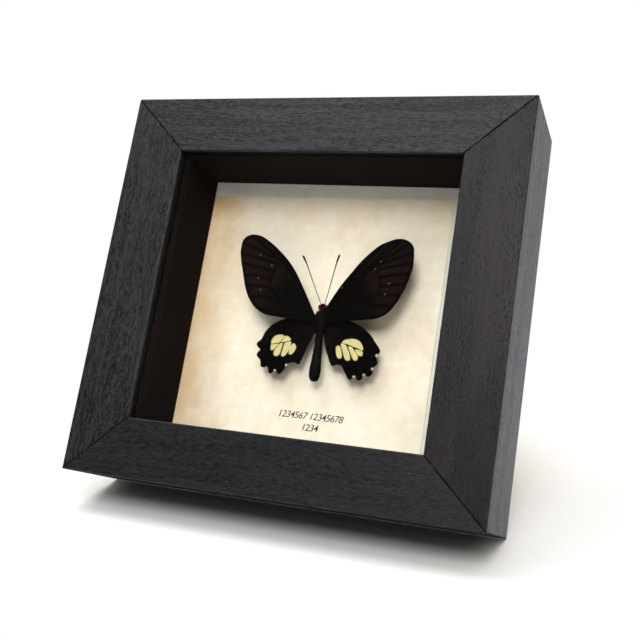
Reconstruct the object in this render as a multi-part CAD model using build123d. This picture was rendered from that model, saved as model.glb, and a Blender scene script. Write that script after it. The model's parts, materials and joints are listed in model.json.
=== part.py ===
from build123d import *
import os
from math import atan2, cos, degrees, radians, sin, tan

# Deep display case for one spread butterfly, leaning back on its easel strut.
#
# Everything is first drawn in case coordinates: X to the right, Y up the case from its bottom
# edge, Z out of the front from the back face.  The finished pieces are then leaned back and set
# on the table, with the origin under the middle of the footprint.  Millimetres and degrees.

# ---------------------------------------------------------------- driving dimensions
# Case
case_width = 160.0
case_height = 150.3
case_depth = 39.3
stile_width = 23.6
rail_width = 22.0
lip_thickness = 3.5
rebate_width = 6.0
mitre_gap = 0.25
edge_radius = 0.5
lean_angle = 25.0

# V-shaped nails across the backs of the mitres
vee_leg = 4.5
vee_thickness = 0.5
vee_depth = 8.0
vee_from_corner = 7.5
vee_spacing = 6.5
vee_count = 2

# Layers held in the rebate
glass_thickness = 2.0
board_thickness = 1.8
panel_thickness = 2.5
sheet_clearance = 0.3
spacer_setback = 0.2
spacer_joint_gap = 0.1

# Paper on the mount board, cut short at the top and at the right and a little out of square
paper_thickness = 0.3
paper_side_gap = 0.2
paper_top_margin_left = 6.2
paper_top_margin_right = 5.0
paper_right_margin = 10.2

# Specimen, placed from the middle of the case
specimen_right = 2.45
specimen_up = -4.9
specimen_turn_angle = 1.8
wing_height = 6.0
wing_thickness = 0.35
wing_layer_gap = 0.35
forewing_reach = 36.0
forewing_rise = 32.0
forewing_tilt_angle = 10.0
hindwing_tilt_angle = 2.0
body_joint_radius = 1.4
thorax_radius = 2.9
thorax_length = 8.8
head_radius = 1.75
head_length = 2.7
nose_radius = 0.7
abdomen_radius = 2.3
abdomen_length = 19.0
abdomen_tip_radius = 1.1
antenna_radius = 0.16
antenna_length = 22.0
antenna_spread_angle = 20.6
antenna_rise_angle = 27.0
antenna_club_radius = 0.4
antenna_club_length = 3.0
block_width = 4.0
block_length = 6.5

# Hindwing margin: a round edge broken into lobes
margin_centre_out = 13.0
margin_centre_along = -10.6
margin_radius = 11.3
lobe_count = 5
lobe_height = 1.5
lobe_start_angle = 9.0
lobe_end_angle = -97.0

# Easel strut
hinge_height = 105.0
strut_open_angle = 45.0
strut_thickness = 3.0
strut_head_width = 30.0
strut_foot_width = 48.0
strut_corner_radius = 3.0
strut_spare = 12.0
stop_gap = 0.15

# Strut hinge
hinge_width = 24.0
leaf_length = 15.0
leaf_thickness = 0.8
knuckle_radius = 1.6
pin_radius = 0.8
pin_clearance = 0.05
centre_knuckle = 8.0
knuckle_gap = 0.2
barrel_relief = 0.3
leaf_corner_radius = 2.0
rivet_radius = 1.2
rivet_head_radius = 2.2
rivet_head_height = 0.5
rivet_spacing = 14.0
rivet_from_pin = 9.5
rivet_short_of_face = 0.5

# Turn buttons
button_inset = 8.6
button_pitch = 64.0
button_width = 7.0
button_thickness = 1.2
button_overlap = 5.0
button_lift = 0.15
screw_radius = 1.4
screw_clearance = 0.05
screw_depth = 11.0
screw_head_radius = 3.0
screw_head_height = 1.4
screw_head_gap = 0.1
screw_slot_width = 0.7
screw_slot_depth = 0.7

# Sawtooth hanger
hanger_length = 40.0
hanger_width = 8.0
hanger_thickness = 0.8
hanger_foot = 8.0
hanger_rise = 1.4
hanger_ramp = 2.0
tooth_count = 9
tooth_pitch = 2.0
tooth_depth = 1.6
nail_radius = 0.7
nail_length = 9.0
nail_head_radius = 1.9
nail_head_height = 0.7

# ---------------------------------------------------------------- derived places
half_width = case_width / 2
half_height = case_height / 2
aperture_width = case_width - 2 * stile_width
aperture_height = case_height - 2 * rail_width
rebate_opening_width = aperture_width + 2 * rebate_width
rebate_opening_height = aperture_height + 2 * rebate_width
layer_width = rebate_opening_width - 2 * sheet_clearance
layer_height = rebate_opening_height - 2 * sheet_clearance

board_back = panel_thickness
board_front = board_back + board_thickness
paper_front = board_front + paper_thickness
glass_front = case_depth - lip_thickness
glass_back = glass_front - glass_thickness
spacer_depth = glass_back - board_front
spacer_thickness = rebate_width - sheet_clearance - spacer_setback
spacer_inner_width = layer_width - 2 * spacer_thickness
spacer_inner_height = layer_height - 2 * spacer_thickness

wing_plane = paper_front + wing_height
specimen_middle = (specimen_right, half_height + specimen_up)
joint_along = thorax_length / 2

pin_z = -knuckle_radius
strut_swing = strut_open_angle - lean_angle
stop_reach = (
    knuckle_radius * (1 + cos(radians(strut_open_angle))) - stop_gap
) / sin(radians(strut_open_angle))
pin_back = hinge_height * sin(radians(lean_angle)) - pin_z * cos(radians(lean_angle))
pin_up = hinge_height * cos(radians(lean_angle)) + pin_z * sin(radians(lean_angle))
strut_reach = (pin_up + knuckle_radius + strut_thickness) / cos(radians(strut_swing))

footprint_front = -case_depth * cos(radians(lean_angle))
footprint_back = (
    pin_back
    + pin_up * tan(radians(strut_swing))
    + (knuckle_radius + strut_thickness) / cos(radians(strut_swing))
)
table_shift = -(footprint_front + footprint_back) / 2
upward = (0, 0, 1)


# ---------------------------------------------------------------- helpers
def solids_group(shapes):
    """Several separate solids that share one node."""
    return Compound([solid for shape in shapes for solid in shape.solids()])


def block(width, height, depth, centre_x, centre_y, back_z):
    """A plain board: width along X, height along Y, depth along Z from back_z."""
    centre = Pos(centre_x, centre_y, back_z + depth / 2)
    return centre * Box(width, height, depth)


def rod_along_x(radius, length, centre_x, centre_y, centre_z):
    """A round bar whose axis runs along X."""
    return Pos(centre_x, centre_y, centre_z) * Rot(0, 90, 0) * Cylinder(radius, length)


def headed_pin(shank_radius, shank_length, head_radius, head_height):
    """A flat-headed pin: the head is below Z = 0, the shank points along +Z."""
    shank = Pos(0, 0, shank_length / 2) * Cylinder(shank_radius, shank_length)
    head = Pos(0, 0, -head_height / 2) * Cylinder(head_radius, head_height)
    return head + shank


# ---------------------------------------------------------------- wooden case
def frame_member(length, width, end_cut):
    """A mitred, rebated length of moulding: X along it, Y from its outer to its inner edge."""
    half = length / 2 - mitre_gap / 2
    outline = Polygon(
        (-half, 0),
        (half, 0),
        (half - end_cut, width),
        (-half + end_cut, width),
        align=None,
    )
    blank = extrude(outline, case_depth, dir=upward)
    rebate = block(length, rebate_width, glass_front, 0, width - rebate_width / 2, 0)
    member = blank - rebate
    long_edges = member.edges().filter_by(Axis.X)
    front_edges = long_edges.filter_by_position(Axis.Z, case_depth, case_depth)
    back_outer_edge = long_edges.filter_by_position(Axis.Z, 0, 0).sort_by(Axis.Y)[0:1]
    return fillet(front_edges + back_outer_edge, edge_radius)


def corner_nails():
    """Vee nails driven in from the back across each mitre, flush with the wood."""
    leg = block(vee_leg, vee_thickness, vee_depth, vee_leg / 2, 0, 0)
    vee = Rot(0, 0, 45) * leg + Rot(0, 0, -45) * leg
    nails = []
    for corner_x, inward_x in ((-half_width, 1), (half_width, -1)):
        for corner_y, inward_y in ((0, 1), (case_height, -1)):
            mitre_angle = degrees(atan2(inward_y * rail_width, inward_x * stile_width))
            along_mitre = Pos(corner_x, corner_y, 0) * Rot(0, 0, mitre_angle)
            for index in range(vee_count):
                distance = vee_from_corner + index * vee_spacing
                nails.append(along_mitre * Pos(distance, 0, 0) * vee)
    return solids_group(nails)


def spacer(length, side_x, side_y, upright):
    """One strip of the inner lining, between the glass and the mount board."""
    width, height = (spacer_thickness, length) if upright else (length, spacer_thickness)
    centre_x = side_x * (layer_width - spacer_thickness) / 2
    centre_y = half_height + side_y * (layer_height - spacer_thickness) / 2
    return block(width, height, spacer_depth, centre_x, centre_y, board_front)


def layer(thickness, back_z):
    """A sheet that fills the rebate with a little clearance all round."""
    return block(layer_width, layer_height, thickness, 0, half_height, back_z)


def paper_sheet():
    """Paper on the mount board, its top edge slightly out of square."""
    left = -spacer_inner_width / 2 + paper_side_gap
    right = spacer_inner_width / 2 - paper_right_margin
    bottom = half_height - spacer_inner_height / 2 + paper_side_gap
    inner_top = half_height + spacer_inner_height / 2
    outline = Polygon(
        (left, bottom),
        (right, bottom),
        (right, inner_top - paper_top_margin_right),
        (left, inner_top - paper_top_margin_left),
        align=None,
    )
    return Pos(0, 0, board_front) * extrude(outline, paper_thickness, dir=upward)


# ---------------------------------------------------------------- specimen
def on_specimen(shape):
    """Carries a piece from the specimen's own axes (Y towards the head) to the case."""
    return Pos(*specimen_middle, wing_plane) * Rot(0, 0, specimen_turn_angle) * shape


def lathe(*points):
    """Turns a faceted side profile, given from front to rear, about Y."""
    front, rear = points[0][1], points[-1][1]
    outline = Polyline((0, rear), (0, front), *points, close=True)
    return revolve(make_face(outline), Axis.Y)


def thorax():
    """A barrel between the flat joints to the head and to the abdomen."""
    barrel_end = thorax_length * 0.25
    return lathe(
        (body_joint_radius, joint_along),
        (thorax_radius, barrel_end),
        (thorax_radius, -barrel_end),
        (body_joint_radius, -joint_along),
    )


def head():
    """A blunt head on a flat neck joint, widest across the eyes."""
    return lathe(
        (nose_radius, joint_along + head_length),
        (head_radius, joint_along + head_length * 0.55),
        (body_joint_radius, joint_along),
    )


def abdomen():
    """A slim club: narrow at the waist, fullest near its blunt tip."""
    tip = -joint_along - abdomen_length
    return lathe(
        (body_joint_radius, -joint_along),
        (abdomen_radius, tip + abdomen_length * 0.2),
        (abdomen_tip_radius, tip),
    )


def across(reach, rise, shares):
    """Points given as shares of a wing's reach from the body and its rise along it."""
    return [(share_out * reach, share_up * rise) for share_out, share_up in shares]


def forewing():
    """Right forewing: bowed costa, rounded tip, nearly straight outer margin."""
    costa_shares = ((0.03, 0.11), (0.35, 0.63), (0.72, 0.985))
    tip_shares = ((0.72, 0.985), (0.925, 0.985), (0.997, 0.825))
    outer_shares = ((0.997, 0.825), (0.96, 0.53), (0.84, 0.205))
    corner_shares = ((0.84, 0.205), (0.77, 0.1), (0.68, 0.045))
    inner_shares = ((0.68, 0.045), (0.03, -0.02), (0.03, 0.11))
    edge = Curve() + [
        ThreePointArc(across(forewing_reach, forewing_rise, shares))
        for shares in (costa_shares, tip_shares, outer_shares, corner_shares)
    ]
    edge += Polyline(across(forewing_reach, forewing_rise, inner_shares))
    plate = extrude(make_face(edge), wing_thickness, dir=upward)
    lifted = Pos(0, 0, wing_layer_gap) * Rot(0, -forewing_tilt_angle, 0) * plate
    return trim_to_body(lifted)


def margin_point(angle, radius):
    """A point on the hindwing's round edge."""
    out = margin_centre_out + radius * cos(radians(angle))
    along = margin_centre_along + radius * sin(radians(angle))
    return (out, along)


def hindwing():
    """Right hindwing: its outer margin is a row of lobes round one arc."""
    step = (lobe_end_angle - lobe_start_angle) / lobe_count
    notches = [lobe_start_angle + index * step for index in range(lobe_count + 1)]
    margin = Curve() + [
        ThreePointArc(
            margin_point(start, margin_radius),
            margin_point((start + end) / 2, margin_radius + lobe_height),
            margin_point(end, margin_radius),
        )
        for start, end in zip(notches, notches[1:])
    ]
    first = margin_point(lobe_start_angle, margin_radius)
    last = margin_point(lobe_end_angle, margin_radius)
    reach = margin_centre_out + margin_radius
    fall = margin_radius - margin_centre_along
    costa_root, costa_middle = across(reach, fall, ((0.04, -0.05), (0.5, 0.03)))
    inner_middle, inner_root = across(reach, fall, ((0.19, -0.56), (0.04, -0.16)))
    costa = ThreePointArc(costa_root, costa_middle, first)
    inner = ThreePointArc(last, inner_middle, inner_root)
    root = Line(inner_root, costa_root)
    outline = make_face(margin + costa + inner + root)
    plate = extrude(outline, wing_thickness, dir=upward)
    lowered = Pos(0, 0, -wing_thickness) * Rot(0, -hindwing_tilt_angle, 0) * plate
    return trim_to_body(lowered)


def trim_to_body(wing):
    """Cuts a wing's root back to the body it grows from."""
    trimmed = wing - thorax() - head() - abdomen()
    return trimmed.solids().sort_by(SortBy.VOLUME)[-1]


def antennae():
    """Two straight feelers, rising towards the glass, each thickened to a club at its tip."""
    stalk_length = antenna_length - antenna_club_length
    feeler = Pos(0, 0, stalk_length / 2) * Cylinder(antenna_radius, stalk_length)
    feeler += Pos(0, 0, stalk_length + antenna_club_length / 2) * Cone(
        antenna_radius, antenna_club_radius, antenna_club_length
    )
    forward = Rot(-90, 0, 0) * feeler
    spread = Pos(head_radius * 0.3, 0, 0) * Rot(0, 0, -antenna_spread_angle) * forward
    root = Pos(0, joint_along + head_length / 2, 0) * Rot(antenna_rise_angle, 0, 0)
    right = root * spread - head()
    return solids_group([right, mirror(right, about=Plane.YZ)])


def specimen_block():
    """Cork block between the paper and the thorax, hidden under the wings."""
    whole = block(block_width, block_length, wing_height, 0, 0, -wing_height)
    hollowed = whole - thorax()
    return hollowed.solids().sort_by(Axis.Z)[0]


# ---------------------------------------------------------------- strut and hinge
def at_pin(shape):
    """Carries a piece drawn round the hinge pin's axis to its place on the case."""
    return Pos(0, hinge_height, pin_z) * shape


def opened(shape):
    """Swings a piece of the strut, drawn folded round the pin, to its open stop."""
    return at_pin(Rot(strut_open_angle, 0, 0) * shape)


def hinge_leaf(windows):
    """A leaf against the panel side of the pin, its knuckles cut away at the windows."""
    back = knuckle_radius
    plate = block(
        hinge_width, leaf_length, leaf_thickness, 0, -leaf_length / 2, back - leaf_thickness
    )
    free_corners = plate.edges().filter_by(Axis.Z).group_by(Axis.Y)[0]
    leaf = fillet(free_corners, leaf_corner_radius)
    leaf += rod_along_x(knuckle_radius, hinge_width, 0, 0, 0)
    opening = 2 * (knuckle_radius + knuckle_gap)
    for start, end in windows:
        leaf -= Pos((start + end) / 2, 0, 0) * Box(end - start, opening, opening)
    return leaf - rod_along_x(pin_radius + pin_clearance, hinge_width, 0, 0, 0)


def panel_leaf():
    half = centre_knuckle / 2 + knuckle_gap
    return hinge_leaf([(-half, half)])


def strut_leaf():
    inner = centre_knuckle / 2
    outer = hinge_width
    leaf = hinge_leaf([(-outer, -inner), (inner, outer)])
    return mirror(leaf, about=Plane.XY)


def rivet_places():
    return [Pos(side * rivet_spacing / 2, -rivet_from_pin, 0) for side in (-1, 1)]


def panel_rivets():
    """Rivets from the leaf into the panel, drawn round the pin's axis."""
    length = leaf_thickness + panel_thickness - rivet_short_of_face
    rivet = headed_pin(rivet_radius, length, rivet_head_radius, rivet_head_height)
    seat = Pos(0, 0, knuckle_radius - leaf_thickness)
    return solids_group([place * seat * rivet for place in rivet_places()])


def strut_rivets():
    """Rivets through strut and leaf, headed on both sides, drawn folded round the pin."""
    length = leaf_thickness + strut_thickness
    rivet = headed_pin(rivet_radius, length, rivet_head_radius, rivet_head_height)
    tail = Pos(0, 0, length + rivet_head_height / 2) * Cylinder(
        rivet_head_radius, rivet_head_height
    )
    seat = Pos(0, 0, -knuckle_radius - strut_thickness)
    return solids_group([place * seat * (rivet + tail) for place in rivet_places()])


def strut():
    """Tapered easel strut, folded: its head passes the pin and meets the panel when open."""
    length = strut_reach + strut_spare
    outline = Polygon(
        (-strut_head_width / 2, stop_reach),
        (strut_head_width / 2, stop_reach),
        (strut_foot_width / 2, -length),
        (-strut_foot_width / 2, -length),
        align=None,
    )
    outline = fillet(outline.vertices().group_by(Axis.Y)[-1], strut_corner_radius)
    board = Pos(0, 0, -knuckle_radius - strut_thickness) * extrude(
        outline, strut_thickness, dir=upward
    )
    barrel = rod_along_x(knuckle_radius + barrel_relief, case_width, 0, 0, 0)
    return board - barrel - strut_rivets()


def strut_on_table():
    """The open strut, its foot cut level with the table."""
    table = Plane(
        origin=(0, 0, 0),
        x_dir=(1, 0, 0),
        z_dir=(0, cos(radians(lean_angle)), sin(radians(lean_angle))),
    )
    return split(opened(strut()), bisect_by=table, keep=Keep.TOP)


# ---------------------------------------------------------------- turn buttons
def button_places():
    """Pivot of each turn button and the way its tongue points at rest."""
    places = {}
    for side, turn in (("left", 0), ("right", 180)):
        pivot_x = (half_width - button_inset) * (-1 if side == "left" else 1)
        for level, step in (("lower", -1), ("upper", 1)):
            pivot_y = half_height + step * button_pitch / 2
            places[f"{side}_{level}"] = Pos(pivot_x, pivot_y, 0) * Rot(0, 0, turn)
    return places


def turn_button():
    """A round-ended tongue that reaches from its screw over the edge of the panel."""
    reach = stile_width - rebate_width - button_inset + button_overlap
    straight = reach - button_width / 2
    tongue = Pos(straight / 2, 0, 0) * SlotCenterToCenter(straight, button_width)
    plate = extrude(tongue - Circle(screw_radius + screw_clearance), button_thickness)
    return Pos(0, 0, -button_lift - button_thickness) * plate


def button_screw():
    """Pan-head screw: shank in the stile, slotted head just clear of the button."""
    under_head = button_lift + button_thickness + screw_head_gap
    screw = headed_pin(
        screw_radius, under_head + screw_depth, screw_head_radius, screw_head_height
    )
    slot = block(
        2 * screw_head_radius, screw_slot_width, screw_slot_depth, 0, 0, -screw_head_height
    )
    return Pos(0, 0, -under_head) * (screw - slot)


# ---------------------------------------------------------------- sawtooth hanger
def hanger():
    """A bent strip: flat feet on the top rail, a raised bridge with teeth along its lower edge."""
    half = hanger_length / 2
    foot_end = half - hanger_foot
    bridge_end = foot_end - hanger_ramp
    outer = [(-half, 0), (-foot_end, 0), (-bridge_end, hanger_rise)]
    right = [(-x, z) for x, z in reversed(outer)]
    centre_line = Polyline(*outer, *right)
    strip = make_face(Plane.XY * offset_strip(centre_line))
    bent = Rot(90, 0, 0) * extrude(strip, hanger_width)
    bent = Pos(0, hanger_width / 2, 0) * bent
    tooth = Polygon((-tooth_pitch / 2, 0), (tooth_pitch / 2, 0), (0, tooth_depth), align=None)
    notch = extrude(tooth, hanger_rise + hanger_thickness)
    for index in range(tooth_count):
        offset_x = (index - (tooth_count - 1) / 2) * tooth_pitch
        bent -= Pos(offset_x, -hanger_width / 2, -hanger_rise - hanger_thickness) * notch
    return bent


def offset_strip(centre_line):
    """Closed outline of the strip's thickness, drawn away from the wood."""
    points = [centre_line @ 0] + [edge @ 1 for edge in centre_line.edges()]
    near = [(p.X, -p.Y) for p in points]
    far = [(x, z - hanger_thickness) for x, z in reversed(near)]
    return Polyline(*near, *far, close=True)


# ---------------------------------------------------------------- assembly
def build_nodes():
    """Every piece in case coordinates, by name."""
    nails = corner_nails()
    buttons = button_places()
    screws = solids_group([place * button_screw() for place in buttons.values()])

    rail = frame_member(case_width, rail_width, stile_width)
    stile = frame_member(case_height, stile_width, rail_width)
    members = {
        "bottom_rail": rail,
        "top_rail": Pos(0, case_height, 0) * Rot(0, 0, 180) * rail,
        "left_stile": Pos(-half_width, half_height, 0) * Rot(0, 0, -90) * stile,
        "right_stile": Pos(half_width, half_height, 0) * Rot(0, 0, 90) * stile,
    }
    hanger_y = case_height - (rail_width - rebate_width) / 2
    hanger_nail = headed_pin(nail_radius, nail_length, nail_head_radius, nail_head_height)
    hanger_nails = solids_group(
        [
            Pos(side * (hanger_length - hanger_foot) / 2, hanger_y, -hanger_thickness) * hanger_nail
            for side in (-1, 1)
        ]
    )
    fastenings = solids_group([nails, screws, hanger_nails])
    nodes = {name: member - fastenings for name, member in members.items()}

    side_length = spacer_inner_height - 2 * spacer_joint_gap
    nodes["corner_nails"] = nails
    nodes["glass_pane"] = layer(glass_thickness, glass_back)
    nodes["top_spacer"] = spacer(layer_width, 0, 1, upright=False)
    nodes["bottom_spacer"] = spacer(layer_width, 0, -1, upright=False)
    nodes["left_spacer"] = spacer(side_length, -1, 0, upright=True)
    nodes["right_spacer"] = spacer(side_length, 1, 0, upright=True)
    nodes["mount_board"] = layer(board_thickness, board_back)
    nodes["paper_sheet"] = paper_sheet()

    right_forewing = forewing()
    right_hindwing = hindwing()
    nodes["right_forewing"] = on_specimen(right_forewing)
    nodes["left_forewing"] = on_specimen(mirror(right_forewing, about=Plane.YZ))
    nodes["right_hindwing"] = on_specimen(right_hindwing)
    nodes["left_hindwing"] = on_specimen(mirror(right_hindwing, about=Plane.YZ))
    nodes["thorax"] = on_specimen(thorax())
    nodes["head"] = on_specimen(head())
    nodes["abdomen"] = on_specimen(abdomen())
    nodes["antennae"] = on_specimen(antennae())
    nodes["specimen_block"] = on_specimen(specimen_block())

    fixed_leaf = at_pin(panel_leaf())
    fixed_rivets = at_pin(panel_rivets())
    nodes["back_panel"] = layer(panel_thickness, 0) - fixed_rivets
    nodes["panel_leaf"] = fixed_leaf - fixed_rivets
    nodes["panel_rivets"] = fixed_rivets
    nodes["hinge_pin"] = at_pin(rod_along_x(pin_radius, hinge_width, 0, 0, 0))
    nodes["strut"] = strut_on_table()
    nodes["strut_leaf"] = opened(strut_leaf() - strut_rivets())
    nodes["strut_rivets"] = opened(strut_rivets())

    for name, place in buttons.items():
        nodes[f"turn_button_{name}"] = place * turn_button()
    nodes["button_screws"] = screws
    nodes["sawtooth_hanger"] = Pos(0, hanger_y, 0) * hanger() - hanger_nails
    nodes["hanger_nails"] = hanger_nails
    return nodes


def lean_on_table(shape):
    """Leans the case back on its rear bottom edge and centres the footprint on the origin."""
    front = (0, -cos(radians(lean_angle)), sin(radians(lean_angle)))
    leaned = Plane(origin=(0, table_shift, 0), x_dir=(1, 0, 0), z_dir=front)
    return leaned.location * shape


os.makedirs("parts", exist_ok=True)
for node_name, node_shape in build_nodes().items():
    export_step(lean_on_table(node_shape), f"parts/{node_name}.step")
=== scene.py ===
"""Finishes the butterfly display case: wood, glass, papers, specimen, metalwork and the stage."""

import json
import math
from functools import reduce, wraps

import bmesh
import bpy
import numpy as np
from bpy.props import FloatProperty, FloatVectorProperty, IntProperty, PointerProperty
from bpy.types import Operator, Panel, PropertyGroup
from mathutils import Euler, Matrix, Vector


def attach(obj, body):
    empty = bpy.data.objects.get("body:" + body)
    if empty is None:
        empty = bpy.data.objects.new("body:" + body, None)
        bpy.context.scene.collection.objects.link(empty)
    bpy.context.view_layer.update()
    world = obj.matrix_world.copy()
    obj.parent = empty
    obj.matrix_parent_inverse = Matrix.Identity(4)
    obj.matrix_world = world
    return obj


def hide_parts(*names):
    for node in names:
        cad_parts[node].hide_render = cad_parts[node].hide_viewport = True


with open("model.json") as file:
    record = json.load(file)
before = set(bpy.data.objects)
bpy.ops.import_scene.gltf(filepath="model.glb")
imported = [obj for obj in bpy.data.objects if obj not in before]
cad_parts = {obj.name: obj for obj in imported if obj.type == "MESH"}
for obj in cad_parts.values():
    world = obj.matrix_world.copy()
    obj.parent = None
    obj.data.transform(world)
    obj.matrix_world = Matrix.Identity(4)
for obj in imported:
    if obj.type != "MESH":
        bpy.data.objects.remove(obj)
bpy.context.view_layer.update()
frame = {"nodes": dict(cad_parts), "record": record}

bl_info = {
    "name": "Butterfly Display Case",
    "version": (1, 0, 0),
    "blender": (4, 5, 0),
    "location": "View3D > Sidebar > Display Case",
    "description": "Finishes a deep black display case with a spread butterfly",
    "category": "Add Mesh",
}

# ------------------------------------------------------------------ places on the case
# Case millimetres: X to the right, Y up the case from its bottom edge, Z out of the glass.
MM = 0.001
MOUNTS = {mount["name"]: mount for mount in frame["record"]["mounts"]}
BACK_POINT = np.array(MOUNTS["back_face"]["pos_m"])
BOTTOM_POINT = np.array(MOUNTS["bottom_face"]["pos_m"])
OUTWARD = -np.array(MOUNTS["back_face"]["axis"])
UPWARD = -np.array(MOUNTS["bottom_face"]["axis"])
CASE_ORIGIN = BOTTOM_POINT - ((BOTTOM_POINT - BACK_POINT) @ OUTWARD) * OUTWARD
CASE_AXES = np.array([[1.0, 0.0, 0.0], UPWARD, OUTWARD])
CASE_TURN = -math.atan2(CASE_AXES[1, 2], CASE_AXES[1, 1])

HALF_WIDTH = 80.0
HALF_HEIGHT = 75.15
CASE_DEPTH = 39.3
APERTURE_HALF = (56.4, 53.15)
PAPER_FRONT = 4.6
WING_PLANE = 10.6
SPECIMEN = np.array([2.45, HALF_HEIGHT - 4.9, WING_PLANE])
SPECIMEN_TURN = math.radians(1.8)
FOREWING_TILT = math.radians(8.0)
HINDWING_TILT = math.radians(1.7)

# Each side: its node, the grain's turn and shift, then how warm and soft its grain is, and how much
# lighter or darker its wood is drawn.
QUARTER = math.pi / 2
SIDES = (
    ("top_rail", 0.0, (13.0, 40.0, 0.0), 0.35, 0.30, 1.36),
    ("bottom_rail", 0.0, (210.0, -7.0, 31.0), 0.1, 1.2, 0.82),
    ("left_stile", QUARTER, (95.0, 17.0, 64.0), 0.15, 0.50, 1.12),
    ("right_stile", QUARTER, (-160.0, 66.0, 9.0), 1.0, 1.3, 0.34),
)
# Label rows: digits, left end, and baseline below the middle of the case.
LABEL_ROWS = (("1234567 12345678", -11.8, -42.2), ("1234", -1.4, -46.6))
DIGIT_SIZE = 3.74

# ------------------------------------------------------------------ places on the stage
# Metres in the shared frame. The lamps stand where the glass can't mirror them to the camera.
CAMERA_PLACE = (0.136132, -0.343906, 0.141026)
CAMERA_TURN = (78.8168, -0.0747, 21.6427)
KEY_PLACE = (-0.30, -0.15, 0.84)
FILL_PLACE = (0.13, -0.92, 0.95)
LAMP_TARGET = (0.0, 0.0, 0.08)
LAMP_SIZE = 0.50
MIRRORED_WAY = (-0.38, -0.714, 0.588)  # where the camera looks by way of the glass
FOOTPRINT_HALF = (0.068, 0.062)  # half of the floor that the object takes, along X and Y
SHADOW_REACH = 0.075  # how far from there the floor's own shading fades into white


def on_case(points):
    """Case millimetres to metres in the shared frame: origin + x X + y up + z out."""
    return CASE_ORIGIN + (np.asarray(points, float) * MM) @ CASE_AXES


def on_specimen(points):
    """Specimen millimetres (Y towards the head) turned by its small angle, then set on the case."""
    cosine, sine = math.cos(SPECIMEN_TURN), math.sin(SPECIMEN_TURN)
    turn = np.array([[cosine, sine, 0.0], [-sine, cosine, 0.0], [0.0, 0.0, 1.0]])
    return on_case(points @ turn + SPECIMEN)


# ------------------------------------------------------------------ settings
def colour(name, description, default):
    """A linear colour that the panel shows as a swatch."""
    return FloatVectorProperty(name=name, description=description, subtype="COLOR", size=3,
                               min=0.0, max=1.0, default=default)


def amount(name, description, default, low=0.0, high=1000.0, unit="NONE"):
    """A number with its limits."""
    return FloatProperty(name=name, description=description, default=default, min=low, max=high,
                         unit=unit)


class WoodSettings(PropertyGroup):
    """Colours of the stained case and its lining"""

    stain: colour("Stain", "Black stain in the pores", (0.0022, 0.0026, 0.0037))
    streak: colour("Streak", "Charcoal grain where the stain is thin", (0.0146, 0.0156, 0.0186))
    warm: colour("Warm Grain", "Brown of the wood showing through", (0.020, 0.0125, 0.0100))
    # This arris colour is partly wear and partly a painted highlight, where bevels catch the bright
    # floor.
    worn: colour("Worn Arris", "Wood rubbed along the edges", (0.060, 0.059, 0.058))
    # The side streak colour is partly sawn grain and partly painted sheen that draws the outer sides
    # paler.
    side: colour("Side Streak", "Pale sawn streaks on the outer sides", (0.044, 0.051, 0.067))
    lining: colour("Lining", "Stained strips behind the glass", (0.0040, 0.0024, 0.0020))
    lining_foot: colour("Lining Foot", "Foot of the strips at the paper", (0.040, 0.0095, 0.0060))
    dust: colour("Dust", "Specks of dust on the stain", (0.30, 0.29, 0.28))


class PaperSettings(PropertyGroup):
    """Colours of the paper, its board and the numbers"""

    parchment: colour("Parchment", "Paper behind the specimen", (0.97, 0.885, 0.735))
    mottle: colour("Mottle", "Clouding in the paper", (0.80, 0.62, 0.41))
    # This edge colour is partly ageing and partly painted shade, warm where the deep frame shades the
    # paper.
    toned: colour("Toned Edge", "Paper browned along its top and left", (0.66, 0.43, 0.19))
    board: colour("Mount Board", "Board that carries the paper", (0.76, 0.745, 0.665))
    ink: colour("Ink", "Numbers on the label line", (0.022, 0.019, 0.018))


class SpecimenSettings(PropertyGroup):
    """Colours and hair of the specimen"""

    wing: colour("Wing", "Ground colour of the scales", (0.0013, 0.0008, 0.0007))
    wing_brown: colour("Wing Brown", "Thin scales between the outer veins", (0.0092, 0.0043, 0.0034))
    patch: colour("Patch", "Cream cells of the hindwing", (0.56, 0.52, 0.235))
    patch_edge: colour("Patch Edge", "Rosy outer ends of the cells", (0.60, 0.49, 0.255))
    fringe: colour("Fringe", "Specks and pale rim of the wings", (0.62, 0.58, 0.55))
    glint: colour("Glint", "Scales that catch the light", (0.9, 0.85, 0.8))
    eye: colour("Eye", "Middle of the eye's facets", (0.012, 0.009, 0.008))
    eye_rim: colour("Eye Rim", "Edges of the eye's facets", (0.004, 0.003, 0.003))
    hair: colour("Hair", "Hair of the body", (0.0015, 0.0013, 0.0014))
    collar: colour("Collar", "Red tuft behind the eyes", (0.13, 0.005, 0.006))
    hair_length: amount("Hair Length", "Longest hair on the thorax", 0.0011, 0.0001, 0.004, "LENGTH")
    hair_count: IntProperty(name="Hair Count", description="Hairs on the whole body",
                            default=5200, min=100, max=20000)


class BackSettings(PropertyGroup):
    """Colours of the back, its metalwork and the cork"""

    hardboard: colour("Hardboard", "Pressed board of panel and strut", (0.150, 0.086, 0.048))
    zinc: colour("Zinc", "Plated hinge, buttons and screws", (0.40, 0.40, 0.39))
    cork: colour("Cork", "Block under the specimen", (0.45, 0.27, 0.13))


class StageSettings(PropertyGroup):
    """Floor, lamps, sky and lens"""

    floor: colour("Floor", "Floor and backdrop", (0.68, 0.68, 0.68))
    key_power: amount("Key Light", "Power of the soft lamp above", 4.2, unit="POWER")
    fill_power: amount("Fill Light", "Power of the soft lamp in front", 11.8, unit="POWER")
    lamp_tint: colour("Lamp Tint", "Coolness of both lamps", (0.95, 0.975, 1.0))
    overhead: amount("Overhead", "Strength of the light straight above", 2.3, high=6.0)
    sky: amount("Sky", "Strength of the even light beside and behind", 1.30, high=4.0)
    sky_tint: colour("Sky Tint", "Warmth of the even light", (1.0, 0.94, 0.85))
    room: amount("Room", "Strength of the darker side that the glass mirrors", 0.020, high=4.0)
    lens: amount("Lens", "Focal length on a 36 mm sensor, in millimetres", 54.36, 10.0, 300.0)


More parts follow.
